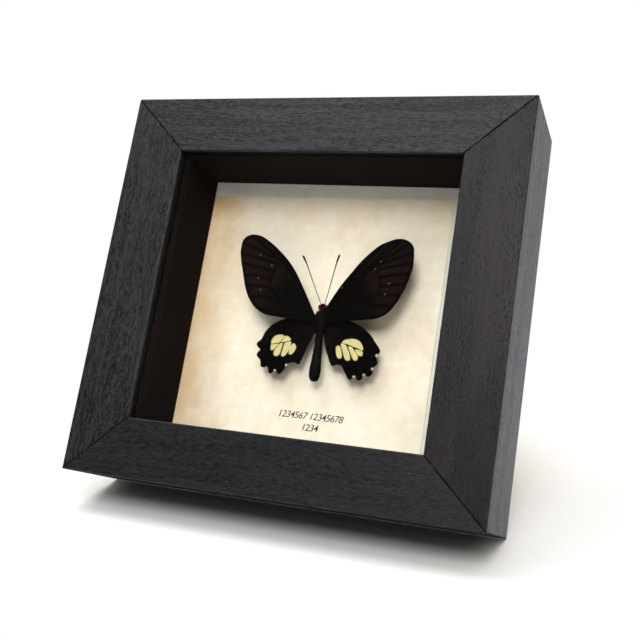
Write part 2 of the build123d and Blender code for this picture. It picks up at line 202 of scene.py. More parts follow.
class DisplayCaseSettings(PropertyGroup):
    """All settings of the display case"""

    wood: PointerProperty(type=WoodSettings)
    paper: PointerProperty(type=PaperSettings)
    specimen: PointerProperty(type=SpecimenSettings)
    back: PointerProperty(type=BackSettings)
    stage: PointerProperty(type=StageSettings)


# ------------------------------------------------------------------ mesh tools
def placed(name, data):
    """A new object in the scene that shows a mesh, text, lamp or camera."""
    piece = bpy.data.objects.new(name, data)
    bpy.context.scene.collection.objects.link(piece)
    return piece


def mesh_object(name, points, faces, material, body="case", smooth=True, masks=None):
    """A piece from an array of points in metres and an array of triangles or quads, riding on a
    body; masks are colours for each point."""
    mesh = bpy.data.meshes.new(name)
    faces = np.asarray(faces, np.int32)
    count, sides = faces.shape
    mesh.vertices.add(len(points))
    mesh.vertices.foreach_set("co", np.asarray(points, np.float32).ravel())
    mesh.loops.add(count * sides)
    mesh.loops.foreach_set("vertex_index", faces.ravel())
    mesh.polygons.add(count)
    mesh.polygons.foreach_set("loop_start", np.arange(0, count * sides, sides, dtype=np.int32))
    mesh.update(calc_edges=True)
    mesh.polygons.foreach_set("use_smooth", np.full(count, smooth))
    for label, values in (masks or {}).items():
        layer = mesh.attributes.new(label, "FLOAT_COLOR", "POINT")
        layer.data.foreach_set("color", np.asarray(values, np.float32).ravel())
    if mesh.validate():
        raise RuntimeError(f"{name} had faces that Blender had to mend")
    mesh.materials.append(material)
    piece = placed(name, mesh)
    if body:
        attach(piece, body)
    return piece


def packed(*parts):
    """Arrays stretched to one shape and set side by side along a new last axis."""
    return np.stack(np.broadcast_arrays(*parts), axis=-1)


def grid_faces(rows, columns, wrap=False):
    """Quads of a grid of rows by columns of points; wrap joins the last column to the first."""
    row = np.arange(rows - 1)[:, None] * columns
    column = np.arange(columns if wrap else columns - 1)[None]
    after = (column + 1) % columns
    return packed(row + column, row + after, row + columns + after,
                  row + columns + column).reshape(-1, 4)


def smooth_line(points, count, closed=False):
    """A Catmull-Rom line through the points, resampled to even steps along its length."""
    points = np.asarray(points, float)
    if closed:
        padded = np.concatenate([points[-1:], points, points[:2]])
    else:
        padded = np.concatenate([2 * points[:1] - points[1:2], points, 2 * points[-1:] - points[-2:-1]])
    spans = len(padded) - 3
    place = np.linspace(0, spans, spans * 40 + 1)
    first = np.minimum(place.astype(int), spans - 1)
    t = (place - first)[:, None]
    a, b, c, d = (padded[first + step] for step in range(4))
    fine = 0.5 * (2 * b + (c - a) * t + (2 * a - 5 * b + 4 * c - d) * t**2
                  + (3 * b - a - 3 * c + d) * t**3)
    run = np.concatenate([[0], np.cumsum(np.linalg.norm(np.diff(fine, axis=0), axis=1))])
    even = np.linspace(0, run[-1], count, endpoint=not closed)
    return np.stack([np.interp(even, run, fine[:, axis]) for axis in range(fine.shape[1])], axis=-1)


def tube(path, radii, sides):
    """Rings r(t) (cos a N + sin a B) carried along a path, with a point at each closed end."""
    path = np.asarray(path, float)
    along = np.gradient(path, axis=0)
    along /= np.linalg.norm(along, axis=1, keepdims=True)
    across = np.cross(along, [0.0, 0.0, 1.0])
    across /= np.linalg.norm(across, axis=1, keepdims=True)
    upright = np.cross(across, along)
    angle = np.linspace(0, 2 * math.pi, sides, endpoint=False)
    radii = np.asarray(radii, float)[:, None, None]
    rings = path[:, None, :] + radii * (
        np.cos(angle)[None, :, None] * across[:, None, :]
        + np.sin(angle)[None, :, None] * upright[:, None, :]
    )
    return rings.reshape(-1, 3), grid_faces(len(path), sides, wrap=True)


def lathe(profile, sides):
    """Points (r sin a, y, r cos a) of a profile of (r, y) turned about Y, front to rear."""
    profile = np.asarray(profile, float)
    angle = np.linspace(0, 2 * math.pi, sides, endpoint=False)
    radius, along = profile[:, 0][:, None], profile[:, 1][:, None]
    points = packed(radius * np.sin(angle), along, radius * np.cos(angle))
    return points.reshape(-1, 3), grid_faces(len(profile), sides, wrap=True)


def facing_out(piece):
    """Merges what meets at poles and seams, then turns every face outwards."""
    work = bmesh.new()
    work.from_mesh(piece.data)
    bmesh.ops.remove_doubles(work, verts=work.verts, dist=2e-6)
    bmesh.ops.dissolve_degenerate(work, edges=work.edges, dist=1e-7)
    bmesh.ops.recalc_face_normals(work, faces=work.faces)
    work.to_mesh(piece.data)
    work.free()
    return piece


def line_distance(points, start, end):
    """Shortest distance from each point to the nearest of several line segments, in the plane."""
    start, run = np.asarray(start, float), np.asarray(end, float) - np.asarray(start, float)
    offset = points[:, None, :] - start[None]
    share = np.clip((offset * run).sum(-1) / np.maximum((run * run).sum(-1), 1e-9), 0, 1)
    return np.linalg.norm(offset - share[..., None] * run, axis=-1).min(axis=1)


def inside_depth(points, outline):
    """Distance to a closed outline, positive inside it: nearest edge, signed by crossings."""
    start, end = outline, np.roll(outline, -1, axis=0)
    away = line_distance(points, start, end)
    x, y = points[:, 0][:, None], points[:, 1][:, None]
    straddles = (start[:, 1] > y) != (end[:, 1] > y)
    rise = np.where(end[:, 1] == start[:, 1], 1e-9, end[:, 1] - start[:, 1])
    crossing = start[:, 0] + (y - start[:, 1]) / rise * (end[:, 0] - start[:, 0])
    inside = (straddles & (x < crossing)).sum(axis=1) % 2 == 1
    return np.where(inside, away, -away)


def soft_step(low, high, values):
    """Smooth change from 0 at low to 1 at high."""
    share = np.clip((values - low) / (high - low), 0, 1)
    return share * share * (3 - 2 * share)


# ------------------------------------------------------------------ shader tools
VECTOR, COLOUR, VALUE = "NodeSocketVector", "NodeSocketColor", "NodeSocketFloat"
BLACK, WHITE = (0.0, 0.0, 0.0), (1.0, 1.0, 1.0)


def is_socket(value):
    """Whether a value is an output of a node rather than a number or a colour."""
    return isinstance(value, bpy.types.NodeSocket)


def rgba(value):
    """A colour of three parts with an alpha of 1; an output of a node stays as it is."""
    return value if is_socket(value) else (*value, 1.0)


def add(tree, kind, inputs=None, **settings):
    """One shader node; inputs gives sockets, by name or number, a value or another node's output."""
    node = tree.nodes.new(kind)
    for key, value in settings.items():
        setattr(node, key, value)
    for key, value in (inputs or {}).items():
        if is_socket(value):
            tree.links.new(value, node.inputs[key])
        else:
            node.inputs[key].default_value = value
    return node


def joined(kind, inputs, **settings):
    """The outputs of a new node in the same tree as the nodes that feed it."""
    tree = next(value.id_data for value in inputs.values() if is_socket(value))
    return add(tree, kind, inputs, **settings).outputs


def maths(operation):
    """A function that makes one kind of maths node from one or two values."""

    def make(first, second=0.0, clamp=False):
        return joined("ShaderNodeMath", {0: first, 1: second}, operation=operation,
                      use_clamp=clamp)[0]

    return make


plus, minus, times = maths("ADD"), maths("SUBTRACT"), maths("MULTIPLY")
larger, smaller, absolute = maths("MAXIMUM"), maths("MINIMUM"), maths("ABSOLUTE")


def weighted(*parts):
    """The sum of values, each times its weight."""
    return reduce(plus, [times(value, weight) for value, weight in parts])


def mix_colour(factor, first, second):
    """From the first colour at a factor of 0 to the second at 1."""
    return joined("ShaderNodeMix", {0: factor, 6: rgba(first), 7: rgba(second)},
                  data_type="RGBA", blend_type="MIX")[2]


def remap(value, low, high, to_low=0.0, to_high=1.0):
    """Smooth change of a value from one range to another, held at both ends."""
    return joined("ShaderNodeMapRange", {0: value, 1: low, 2: high, 3: to_low, 4: to_high},
                  interpolation_type="SMOOTHSTEP")[0]


def stretched(vector, scale):
    """Coordinates times a scale for each axis."""
    return joined("ShaderNodeVectorMath", {0: vector, 1: scale}, operation="MULTIPLY")[0]


def noise(vector, scale, detail=2.0, roughness=0.5, distortion=0.0):
    """Noise of one scale, or of three scales along X, Y and Z."""
    if isinstance(scale, tuple):
        vector, scale = stretched(vector, scale), 1.0
    return joined("ShaderNodeTexNoise", {
        "Vector": vector, "Scale": scale, "Detail": detail, "Roughness": roughness,
        "Distortion": distortion,
    })[0]


def cells(vector, scale):
    """Scattered cells: the distance to the nearest and a colour of its own for each."""
    return joined("ShaderNodeTexVoronoi", {"Vector": vector, "Scale": scale})


def axes(vector):
    """The three parts of a vector."""
    return joined("ShaderNodeSeparateXYZ", {0: vector})


def channels(shade):
    """The three parts of a colour."""
    return joined("ShaderNodeSeparateColor", {0: shade})


def shader_group(*gives):
    """Turns a function into a node group, filled at its first use. Its annotated parameters are
    the inputs and what it returns are the outputs named here. Each call makes one use of it."""

    def decorate(build):
        name = build.__name__.replace("_", " ").title()
        kinds = build.__annotations__

        def fill():
            tree = bpy.data.node_groups.new(name, "ShaderNodeTree")
            for label, kind in kinds.items():
                tree.interface.new_socket(name=label.title(), in_out="INPUT", socket_type=kind)
            for label in gives:
                kind = COLOUR if label == "Color" else VALUE
                tree.interface.new_socket(name=label, in_out="OUTPUT", socket_type=kind)
            source = tree.nodes.new("NodeGroupInput").outputs
            sink = tree.nodes.new("NodeGroupOutput").inputs
            made = build(**{label: source[label.title()] for label in kinds})
            for label, socket in zip(gives, made, strict=True):
                tree.links.new(socket, sink[label])
            return tree

        @wraps(build)
        def use(**given):
            inputs = {label.title(): rgba(given[label]) if kind == COLOUR else given[label]
                      for label, kind in kinds.items()}
            group = bpy.data.node_groups.get(name) or fill()
            return joined("ShaderNodeGroup", inputs, node_tree=group)

        return use

    return decorate


def shader_material(name):
    """A new material with its tree and its Principled shader."""
    material = bpy.data.materials.new(name)
    material.use_nodes = True
    tree = material.node_tree
    return material, tree, tree.nodes["Principled BSDF"]


def surface(name, bump, build, **constants):
    """A material whose colour, roughness and height come from build; bump is strength and reach."""
    material, tree, shader = shader_material(name)
    for socket, value in constants.items():
        shader.inputs[socket.replace("_", " ")].default_value = value
    shade, rough, height = build(tree)
    normal = joined("ShaderNodeBump", {"Height": height, "Strength": bump[0], "Distance": bump[1]})[0]
    for socket, value in (("Base Color", shade), ("Roughness", rough), ("Normal", normal)):
        tree.links.new(value, shader.inputs[socket])
    return material


def case_vector(tree, turn=0.0, offset=(0.0, 0.0, 0.0)):
    """Object coordinates as case millimetres, turned about the case's Z and shifted."""
    turned = Matrix.Rotation(turn, 3, "Z") @ Matrix.Rotation(CASE_TURN, 3, "X")
    start = -(turned @ Vector(CASE_ORIGIN)) / MM + Vector(offset)
    coordinates = add(tree, "ShaderNodeTexCoord").outputs["Object"]
    return joined("ShaderNodeMapping", {
        "Vector": coordinates, "Location": start, "Rotation": (CASE_TURN, 0.0, turn),
        "Scale": (1 / MM,) * 3,
    })[0]


def assign(material, *nodes):
    """Gives CAD nodes a finish; their meshes stay as they are."""
    for name in nodes:
        piece = frame["nodes"][name]
        if not piece.material_slots:
            piece.data.materials.append(material)
        for slot in piece.material_slots:
            slot.material = material


# ------------------------------------------------------------------ shared effects
@shader_group("Color", "Roughness", "Height", "Sawn")
def stained_grain(vector: VECTOR, stain: COLOUR, streak: COLOUR, warm: COLOUR, warmth: VALUE,
                  softness: VALUE, roughness: VALUE):
    """Grain along X: wavy flecks and pores in a stain that drifts, over long faint bands."""
    wander = times(noise(vector, (0.03, 0.08, 0.08)), 7.0)
    shift = joined("ShaderNodeCombineXYZ", {1: wander})[0]
    vector = joined("ShaderNodeVectorMath", {0: vector, 1: shift}, operation="ADD")[0]
    band = noise(vector, (0.02, 0.55, 0.55), 3.0, 0.6)
    sawn = noise(vector, (0.030, 1.5, 1.5), 4.0, 0.65)
    plank = noise(vector, (0.006, 0.19, 0.19), 1.0)
    fleck = noise(vector, (0.34, 1.35, 1.35), 3.0, 0.62, 0.7)
    tooth = noise(vector, (1.3, 3.0, 3.0), 2.0, 0.7)
    hole = cells(stretched(vector, (0.38, 1.6, 1.6)), 1.0)[0]
    patchy = noise(vector, (0.06, 0.16, 0.16))
    pore = times(remap(hole, 0.34, 0.14), remap(patchy, 0.38, 0.60))
    drift = noise(vector, (0.012, 0.06, 0.06))
    wide = times(softness, 0.14)
    share = remap(weighted((band, 0.25), (fleck, 0.45), (tooth, 0.30)),
                  minus(0.49, wide), plus(0.51, wide))
    shade = mix_colour(share, stain, streak)
    warmth = times(remap(drift, 0.35, 0.62), warmth)
    shade = mix_colour(times(warmth, share), shade, warm)
    shade = mix_colour(times(pore, 0.8), shade, stain)
    rough = plus(roughness, times(minus(fleck, 0.5), 0.45))
    rough = plus(rough, times(pore, 0.2), clamp=True)
    height = weighted((fleck, 0.6), (tooth, 0.4), (pore, -0.6))
    return shade, rough, height, weighted((sawn, 0.45), (plank, 0.55))


@shader_group("Rubbed And Highlight", "Joint", "Side", "End", "Shaded Reveal")
def frame_edges(vector: VECTOR):
    """Masks: arrises for wear and a painted highlight, mitre joints, outer sides for sawn streaks and
    painted sheen, top and underside, and the opening's inner faces for painted shade.
    """
    place = axes(vector)
    x, y = absolute(place[0]), absolute(minus(place[1], HALF_HEIGHT))
    front = minus(CASE_DEPTH, place[2])
    from_side, from_end = minus(HALF_WIDTH, x), minus(HALF_HEIGHT, y)
    inner = larger(minus(x, APERTURE_HALF[0]), minus(y, APERTURE_HALF[1]))
    nearest = smaller(absolute(smaller(from_side, from_end)), absolute(inner))
    reach = remap(noise(vector, 0.22, 2.0, 0.55), 0.40, 0.75, 0.0, 0.20)
    # Lightened arrises: partly wear, partly a painted highlight.
    rubbed_and_highlight = remap(minus(plus(nearest, front), reach), 0.42, 0.0)
    stile, rail = HALF_WIDTH - APERTURE_HALF[0], HALF_HEIGHT - APERTURE_HALF[1]
    along = math.hypot(stile, rail)
    across = absolute(weighted((from_side, rail / along), (from_end, -stile / along)))
    tight = remap(noise(vector, 0.16), 0.35, 0.6, 0.06, 0.26)
    ragged = remap(noise(vector, 1.3), 0.3, 0.7, -0.10, 0.14)
    joint = remap(minus(across, plus(tight, ragged)), 0.14, 0.0)
    side, end = remap(from_side, 0.12, 0.02), remap(from_end, 0.12, 0.02)
    # Inner faces of the opening behind the front, darkened by the finish as painted shade.
    shaded_reveal = times(remap(inner, 0.15, 0.03), remap(front, 0.5, 2.0))
    return rubbed_and_highlight, joint, side, end, shaded_reveal


@shader_group("Mask")
def fine_dust(vector: VECTOR, scale: VALUE):
    """Sparse pale specks of dust."""
    rare = remap(noise(vector, 0.21, 1.0), 0.56, 0.68)
    return (times(remap(cells(vector, scale)[0], 0.10, 0.04), rare),)


@shader_group("Color", "Roughness", "Height")
def felted_fibre(vector: VECTOR, base: COLOUR, mottle: COLOUR, mottling: VALUE):
    """Paper or board: clouds at two sizes, short fibres and a fine tooth."""
    cloud = noise(vector, 0.045, 3.0, 0.55, 0.4)
    blotch = noise(vector, 0.22, 3.0, 0.6)
    fibres = noise(vector, (0.5, 2.4, 1.0), 2.0, 0.6, 1.2)
    tooth = noise(vector, 7.0, 2.0, 0.6)
    amount = remap(weighted((cloud, 0.55), (blotch, 0.45)), 0.36, 0.68)
    shade = mix_colour(times(amount, mottling), base, mottle)
    shade = mix_colour(times(remap(fibres, 0.60, 0.74), 0.16), shade, mottle)
    return shade, remap(blotch, 0.3, 0.7, 0.72, 0.88), weighted((tooth, 0.6), (fibres, 0.4))


@shader_group("Color", "Roughness", "Height")
def drawn_metal(vector: VECTOR, bright: COLOUR, dull: COLOUR):
    """Plated steel: fine draw lines along X, cloudy plating and small dark scratches."""
    lines = noise(vector, (0.15, 7.0, 7.0), 2.0, 0.6)
    cloud = noise(vector, 0.6, 3.0, 0.6)
    spangle = channels(cells(vector, 1.1)["Color"])[0]
    share = remap(weighted((cloud, 0.8), (spangle, 0.2)), 0.25, 0.75)
    scratch = remap(noise(vector, (0.5, 5.0, 1.0), 1.0, 0.5, 2.5), 0.66, 0.72)
    shade = mix_colour(times(scratch, 0.5), mix_colour(share, dull, bright), dull)
    rough = plus(remap(cloud, 0.3, 0.7, 0.26, 0.44), times(lines, 0.10))
    return shade, rough, minus(lines, times(scratch, 0.8))


@shader_group("Color", "Roughness", "Height")
def pressed_fibre(vector: VECTOR, pale: COLOUR, dark: COLOUR, chips: VALUE):
    """Hardboard or cork: dark and pale chips pressed flat, with a few long fibres."""
    chip = channels(cells(vector, chips)["Color"])[0]
    cloud = noise(vector, 0.10, 3.0, 0.55)
    fibre = noise(stretched(vector, (0.7, 1.5, 1.0)), 2.2, 4.0, 0.75, 0.8)
    share = weighted((chip, 0.30), (fibre, 0.70))
    shade = mix_colour(remap(share, 0.10, 0.80), dark, pale)
    shade = mix_colour(times(remap(cloud, 0.35, 0.7), 0.3), shade, dark)
    return shade, remap(fibre, 0.3, 0.7, 0.42, 0.62), share


# ------------------------------------------------------------------ finishes
def stained_wood(name, settings, turn, offset, warmth, softness, tone):
    """Black-stained wood with its grain along X, or along Y with a quarter turn."""

    def build(tree):
        grain = stained_grain(
            vector=case_vector(tree, turn, offset), stain=settings.stain * tone,
            streak=settings.streak * tone, warm=settings.warm * (0.45 + tone), warmth=warmth,
            softness=softness, roughness=0.42,
        )
        place = case_vector(tree)
        edges = frame_edges(vector=place)
        # Outer sides drawn paler in streaks: sawn grain and painted sheen.
        sawn = times(edges["Side"], remap(grain["Sawn"], 0.38, 0.62, 0.25, 1.0))
        dust = times(fine_dust(vector=place, scale=0.42)["Mask"], 0.22)
        shade = mix_colour(sawn, grain["Color"], settings.side)
        # Painted shade: the opening's inner faces darkened towards the black stain.
        shade = mix_colour(edges["Shaded Reveal"], shade, settings.stain * 0.4)
        # Arrises lightened: wear and a painted highlight.
        shade = mix_colour(times(edges["Rubbed And Highlight"], 0.4), shade, settings.worn)
        shade = mix_colour(dust, shade, settings.dust)
        shade = mix_colour(times(edges["Joint"], 0.92), shade, BLACK)
        dull = larger(edges["Joint"], larger(edges["Shaded Reveal"], edges["End"]))
        rough = plus(grain["Roughness"], times(dull, 0.5), clamp=True)
        return shade, rough, minus(grain["Height"], times(edges["Joint"], 1.5))

    return surface(name, (0.7, 0.00016), build, Specular_IOR_Level=0.16)


def lining_wood(name, settings, turn, offset, tone=1.0):
    """The strips behind the glass, redder along the foot that meets the paper."""

    def build(tree):
        lining = settings.lining * tone
        grain = stained_grain(
            vector=case_vector(tree, turn, offset), stain=lining, streak=lining * 2.6,
            warm=lining * 2.1, warmth=0.6, softness=0.9, roughness=0.62,
        )
        depth = axes(case_vector(tree))[2]
        foot = remap(depth, PAPER_FRONT + 1.1, PAPER_FRONT + 0.3, 0.0, 0.9)
        shade = mix_colour(foot, grain["Color"], settings.lining_foot)
        return shade, grain["Roughness"], grain["Height"]

    return surface(name, (0.4, 0.0001), build, Specular_IOR_Level=0.02)


def picture_glass():
    """Clear glass that lets lamps through, with a faint bloom in its roughness."""
    material, tree, shader = shader_material("Picture Glass")
    shader.inputs["Base Color"].default_value = (0.995, 0.997, 0.995, 1.0)
    shader.inputs["Transmission Weight"].default_value = 1.0
    shader.inputs["IOR"].default_value = 1.5
    smear = noise(case_vector(tree), (0.02, 0.05, 0.02), 3.0, 0.6)
    tree.links.new(remap(smear, 0.35, 0.75, 0.0, 0.012), shader.inputs["Roughness"])
    path = add(tree, "ShaderNodeLightPath").outputs
    clear = add(tree, "ShaderNodeBsdfTransparent", {"Color": (0.96, 0.965, 0.96, 1.0)})
    either = larger(path["Is Shadow Ray"], path["Is Diffuse Ray"])
    blend = joined("ShaderNodeMixShader", {0: either, 1: shader.outputs[0], 2: clear.outputs[0]})
    tree.links.new(blend[0], tree.nodes["Material Output"].inputs["Surface"])
    return material


def felted(name, base, mottle, mottling, reach, offset=(0.0, 0.0, 0.0), toned=None):
    """Paper, board or ink; an edge colour browns it towards its top and left, unevenly, as ageing and
    as painted shade.
    """

    def build(tree):
        paper = felted_fibre(vector=case_vector(tree, 0.0, offset), base=base, mottle=mottle,
                             mottling=mottling)
        shade = paper["Color"]
        # Browner and darker towards the top and left: partly ageing, partly painted shade from the
        # frame.
        if toned is not None:
            place = case_vector(tree)
            x, y, _ = axes(place)
            uneven = times(noise(place, 0.07, 3.0, 0.6), 26.0)
            top = remap(plus(y, uneven), 106.0, 142.0, 0.0, 0.26)
            left = remap(minus(uneven, x), 46.0, 72.0, 0.0, 0.72)
            shade = mix_colour(plus(top, left, clamp=True), shade, toned)
        return shade, paper["Roughness"], paper["Height"]

    return surface(name, (0.35, reach), build, Specular_IOR_Level=0.25)


def zinc_plate(name, zinc, turn=0.0, dark=0.75):
    """Zinc-plated steel, drawn along X or at a turn from it."""

    def build(tree):
        return drawn_metal(vector=case_vector(tree, turn), bright=zinc, dull=zinc * dark)

    return surface(name, (0.15, 0.00002), build, Metallic=1.0)


def pressed(name, pale, dark, chips, turn=0.0, reach=0.00005):
    """Hardboard or cork in two colours, with so many chips a millimetre."""

    def build(tree):
        return pressed_fibre(vector=case_vector(tree, turn), pale=pale, dark=dark, chips=chips)

    return surface(name, (0.5, reach), build, Specular_IOR_Level=0.4)


def scaled_wing(settings):
    """Wing scales: marks in the mesh give patches, veins, thin brown cells and pale fringe."""

    def build(tree):
        marks = add(tree, "ShaderNodeAttribute", attribute_name="wing_marks",
                    attribute_type="GEOMETRY").outputs
        patch, vein, thin = channels(marks["Color"])
        place = case_vector(tree)
        rows = noise(place, (5.0, 9.0, 5.0), 2.0, 0.7)
        cloud = noise(place, 0.5, 3.0, 0.6)
        brown = times(thin, remap(cloud, 0.25, 0.7, 0.55, 1.0))
        shade = mix_colour(brown, settings.wing, settings.wing_brown)
        shade = mix_colour(times(vein, 0.6), shade, settings.wing * 0.35)
        cream = mix_colour(remap(cloud, 0.3, 0.75), settings.patch, settings.patch_edge)
        cream = mix_colour(remap(rows, 0.3, 0.75, 0.0, 0.25), cream, settings.patch_edge)
        shade = mix_colour(patch, shade, cream)
        shade = mix_colour(marks["Alpha"], shade, settings.fringe)
        shade = mix_colour(times(remap(rows, 0.62, 0.8), 0.004), shade, settings.glint)
        return shade, remap(rows, 0.3, 0.7, 0.55, 0.75), rows

    return surface("Wing Scales", (0.3, 0.00003), build, Specular_IOR_Level=0.015)


def body_hair(name, dark, tip):
    """Skin or hair of the body, clouded between two colours."""

    def build(tree):
        cloud = noise(case_vector(tree), 2.6, 2.0, 0.6)
        shade = mix_colour(remap(cloud, 0.3, 0.75), dark, tip)
        return shade, remap(cloud, 0.3, 0.7, 0.42, 0.62), cloud

    return surface(name, (0.4, 0.00004), build, Specular_IOR_Level=0.03)


def faceted_eye(settings):
    """Dark glossy facets, paler at their middles."""

    def build(tree):
        facets = cells(case_vector(tree), 9.0)[0]
        shade = mix_colour(remap(facets, 0.1, 0.6), settings.eye, settings.eye_rim)
        return shade, remap(facets, 0.0, 0.7, 0.12, 0.26), facets

    return surface("Eye", (0.3, 0.00002), build)


# ------------------------------------------------------------------ butterfly shapes
# In specimen millimetres. Eyes and feelers are given for the right, and the left mirrors them.
MEMBRANE = 0.09
HAIR_RADIUS = 0.055
EYE_SIZE, EYE_PLACE = (0.62, 0.95, 0.95), (1.32, 5.65, 0.15)
FEELER_ROOT = (0.42, 5.9, 0.3)
FEELER_SPREAD, FEELER_RISE = math.radians(17.6), math.radians(27.0)
FEELER_LENGTHS = {-1: 20.9, 1: 21.6}
# Wing outlines in millimetres from the thorax: outwards along the wing, then towards the head.
LEFT_FOREWING = (
    (1.6, 0.6), (3.4, 2.6), (8.4, 11.4), (13.6, 19.2), (18.6, 24.5), (24.1, 28.8), (28.9, 31.6),
    (32.7, 32.2), (35.8, 31.2), (37.2, 28.6), (37.0, 24.4), (35.9, 20.2), (34.2, 15.1), (32.5, 10.5),
    (30.8, 7.0), (28.7, 4.1), (26.2, 2.0), (22.8, 0.3), (19.1, 0.0), (8.4, 0.2), (1.4, -1.2),
)
RIGHT_FOREWING = (
    (0.6, 4.0), (2.8, 8.4), (6.3, 14.5), (10.7, 20.7), (15.3, 26.4), (20.0, 30.5), (25.0, 32.8),
    (28.6, 33.3), (31.9, 32.3), (34.1, 30.0), (34.8, 26.5), (35.0, 22.0), (34.1, 17.6), (32.7, 13.1),
    (30.8, 8.6), (28.3, 5.1), (25.5, 2.7), (20.4, 1.4), (7.5, 0.4), (1.4, -1.2),
)
LEFT_HINDWING = (
    (1.0, 0.4), (8.7, 1.2), (13.2, 0.6), (16.9, -0.9), (20.3, -3.2), (22.5, -6.0), (23.4, -8.7),
    (25.3, -10.9), (23.8, -13.1), (24.4, -15.4), (22.5, -17.4), (22.0, -19.6), (20.6, -20.0),
    (19.0, -19.9), (18.2, -21.8), (16.9, -21.9), (15.7, -20.8), (14.3, -22.0), (12.9, -21.4),
    (12.1, -18.9), (10.3, -17.3), (8.2, -16.9), (6.1, -17.0), (4.6, -10.5), (3.0, -4.8), (1.2, -2.6),
)
RIGHT_HINDWING = (
    (1.0, 0.6), (9.2, 1.4), (14.6, 0.1), (18.0, -1.7), (20.9, -4.0), (22.8, -6.3), (25.2, -9.4),
    (24.3, -11.9), (24.9, -14.3), (23.6, -16.4), (23.4, -18.6), (21.9, -19.6), (20.4, -19.0),
    (19.5, -21.0), (18.1, -21.4), (16.6, -20.2), (15.4, -21.4), (14.1, -21.0), (12.6, -18.4),
    (11.1, -16.7), (9.0, -16.2), (7.0, -16.8), (4.9, -13.4), (3.2, -9.8), (1.8, -5.0), (1.0, -2.6),
)
LEFT_PATCHES = (
    ((18.9, -10.4), (18.8, -8.7), (17.5, -7.2), (15.5, -6.6), (14.2, -7.1), (15.0, -8.6), (15.6, -9.6),
     (17.4, -10.1)),
    ((13.8, -7.1), (12.7, -7.0), (11.4, -7.9), (11.5, -8.4), (13.1, -9.0), (14.8, -9.4), (14.3, -8.2)),
    ((18.9, -11.9), (18.8, -10.9), (16.7, -10.4), (15.8, -10.3), (16.8, -11.5), (18.0, -12.9),
     (18.7, -12.8)),
    ((17.3, -14.4), (17.1, -12.6), (15.6, -10.6), (15.2, -10.1), (14.3, -9.9), (14.5, -12.0),
     (15.0, -14.2), (16.2, -15.1)),
    ((14.1, -14.5), (14.0, -13.4), (13.5, -10.1), (13.0, -9.5), (11.5, -9.0), (10.9, -9.2),
     (11.1, -11.6), (12.4, -14.3), (13.4, -15.0)),
    ((11.1, -13.1), (11.0, -11.7), (10.4, -10.2), (9.7, -9.6), (9.0, -10.1), (8.6, -11.1),
     (9.2, -12.9), (10.1, -13.9), (10.8, -13.8)),
)
RIGHT_PATCHES = (
    ((9.9, -7.6), (10.7, -6.6), (13.0, -6.0), (15.1, -6.0), (16.9, -6.8), (18.1, -8.2), (18.4, -9.9),
     (16.4, -9.2), (14.0, -8.6), (11.7, -7.9)),
    ((15.6, -9.9), (18.3, -10.4), (18.6, -11.7), (17.7, -12.1), (16.4, -11.1)),
    ((12.7, -9.0), (14.1, -9.2), (15.4, -10.6), (16.7, -11.9), (16.8, -13.6), (15.8, -14.0),
     (14.8, -13.0), (13.6, -11.0)),
    ((9.5, -8.1), (11.2, -8.4), (12.1, -9.4), (13.5, -12.1), (13.9, -13.8), (13.0, -14.3),
     (11.9, -13.6), (10.8, -11.2)),
    ((7.7, -10.0), (7.9, -9.2), (8.9, -9.0), (9.6, -9.9), (10.4, -12.0), (10.5, -13.4), (9.4, -13.7),
     (8.3, -12.5)),
)
# Veins as lines of points: the cell in the wing's middle, then the veins that leave it.
FOREWING_VEINS = (
    ((2.0, 4.5), (10.0, 14.0), (19.5, 22.5), (21.3, 19.5), (22.6, 16.0), (22.5, 11.5), (17.5, 7.8),
     (8.0, 3.5), (2.0, 1.5)),
    ((14.0, 18.5), (26.0, 32.8)), ((17.0, 21.0), (29.5, 33.4)), ((19.5, 22.5), (33.5, 32.2)),
    ((19.5, 22.5), (36.0, 28.4)), ((20.5, 21.0), (37.5, 24.6)), ((22.0, 18.0), (36.5, 20.2)),
    ((22.8, 14.5), (35.0, 15.8)), ((22.5, 11.5), (33.5, 11.2)), ((17.5, 7.8), (31.5, 6.8)),
    ((2.0, 1.0), (27.5, 2.6)), ((1.5, 4.5), (9.0, 16.0), (22.0, 31.0)),
)
HINDWING_VEINS = (
    ((2.0, -1.0), (9.0, -4.0), (15.0, -7.0), (15.6, -9.9), (14.0, -10.0), (9.0, -8.6), (2.5, -2.5)),
    ((9.0, -4.0), (19.5, -3.0)), ((15.0, -7.0), (24.4, -8.5)), ((15.6, -9.5), (25.0, -13.2)),
    ((15.4, -10.0), (22.6, -18.0)), ((14.0, -10.0), (19.0, -20.6)), ((11.6, -9.4), (15.6, -21.2)),
    ((9.6, -9.0), (11.6, -17.6)), ((2.5, -3.0), (7.6, -17.2)),
)
FOREWING_SPECKS = ((28.6, 24.2), (23.2, 20.2), (27.7, 14.5), (26.1, 9.9))
RIGHT_FOREWING_SPECKS = ((21.7, 24.1), (19.8, 21.2), (26.3, 15.6), (25.3, 11.4), (6.8, 13.6))
LEFT_FRINGE = ((11.2, -18.3), (15.7, -20.9), (19.6, -20.1), (23.8, -13.2))
RIGHT_FRINGE = ((23.4, -16.6), (20.3, -19.2), (16.5, -20.3), (24.3, -11.4), (10.4, -16.9))


def fan(outline, rows, columns):
    """P(s, t) = R(s) + t (E(s) - R(s)): rays from a short root line R to the margin E."""
    edge = smooth_line(outline, columns)
    share = np.linspace(0, 1, columns)[:, None]
    root = edge[0] * (1 - share) + edge[-1] * share
    reach = np.linspace(0, 1, rows)[:, None, None] ** 0.85
    return root[None] + reach * (edge - root)[None]


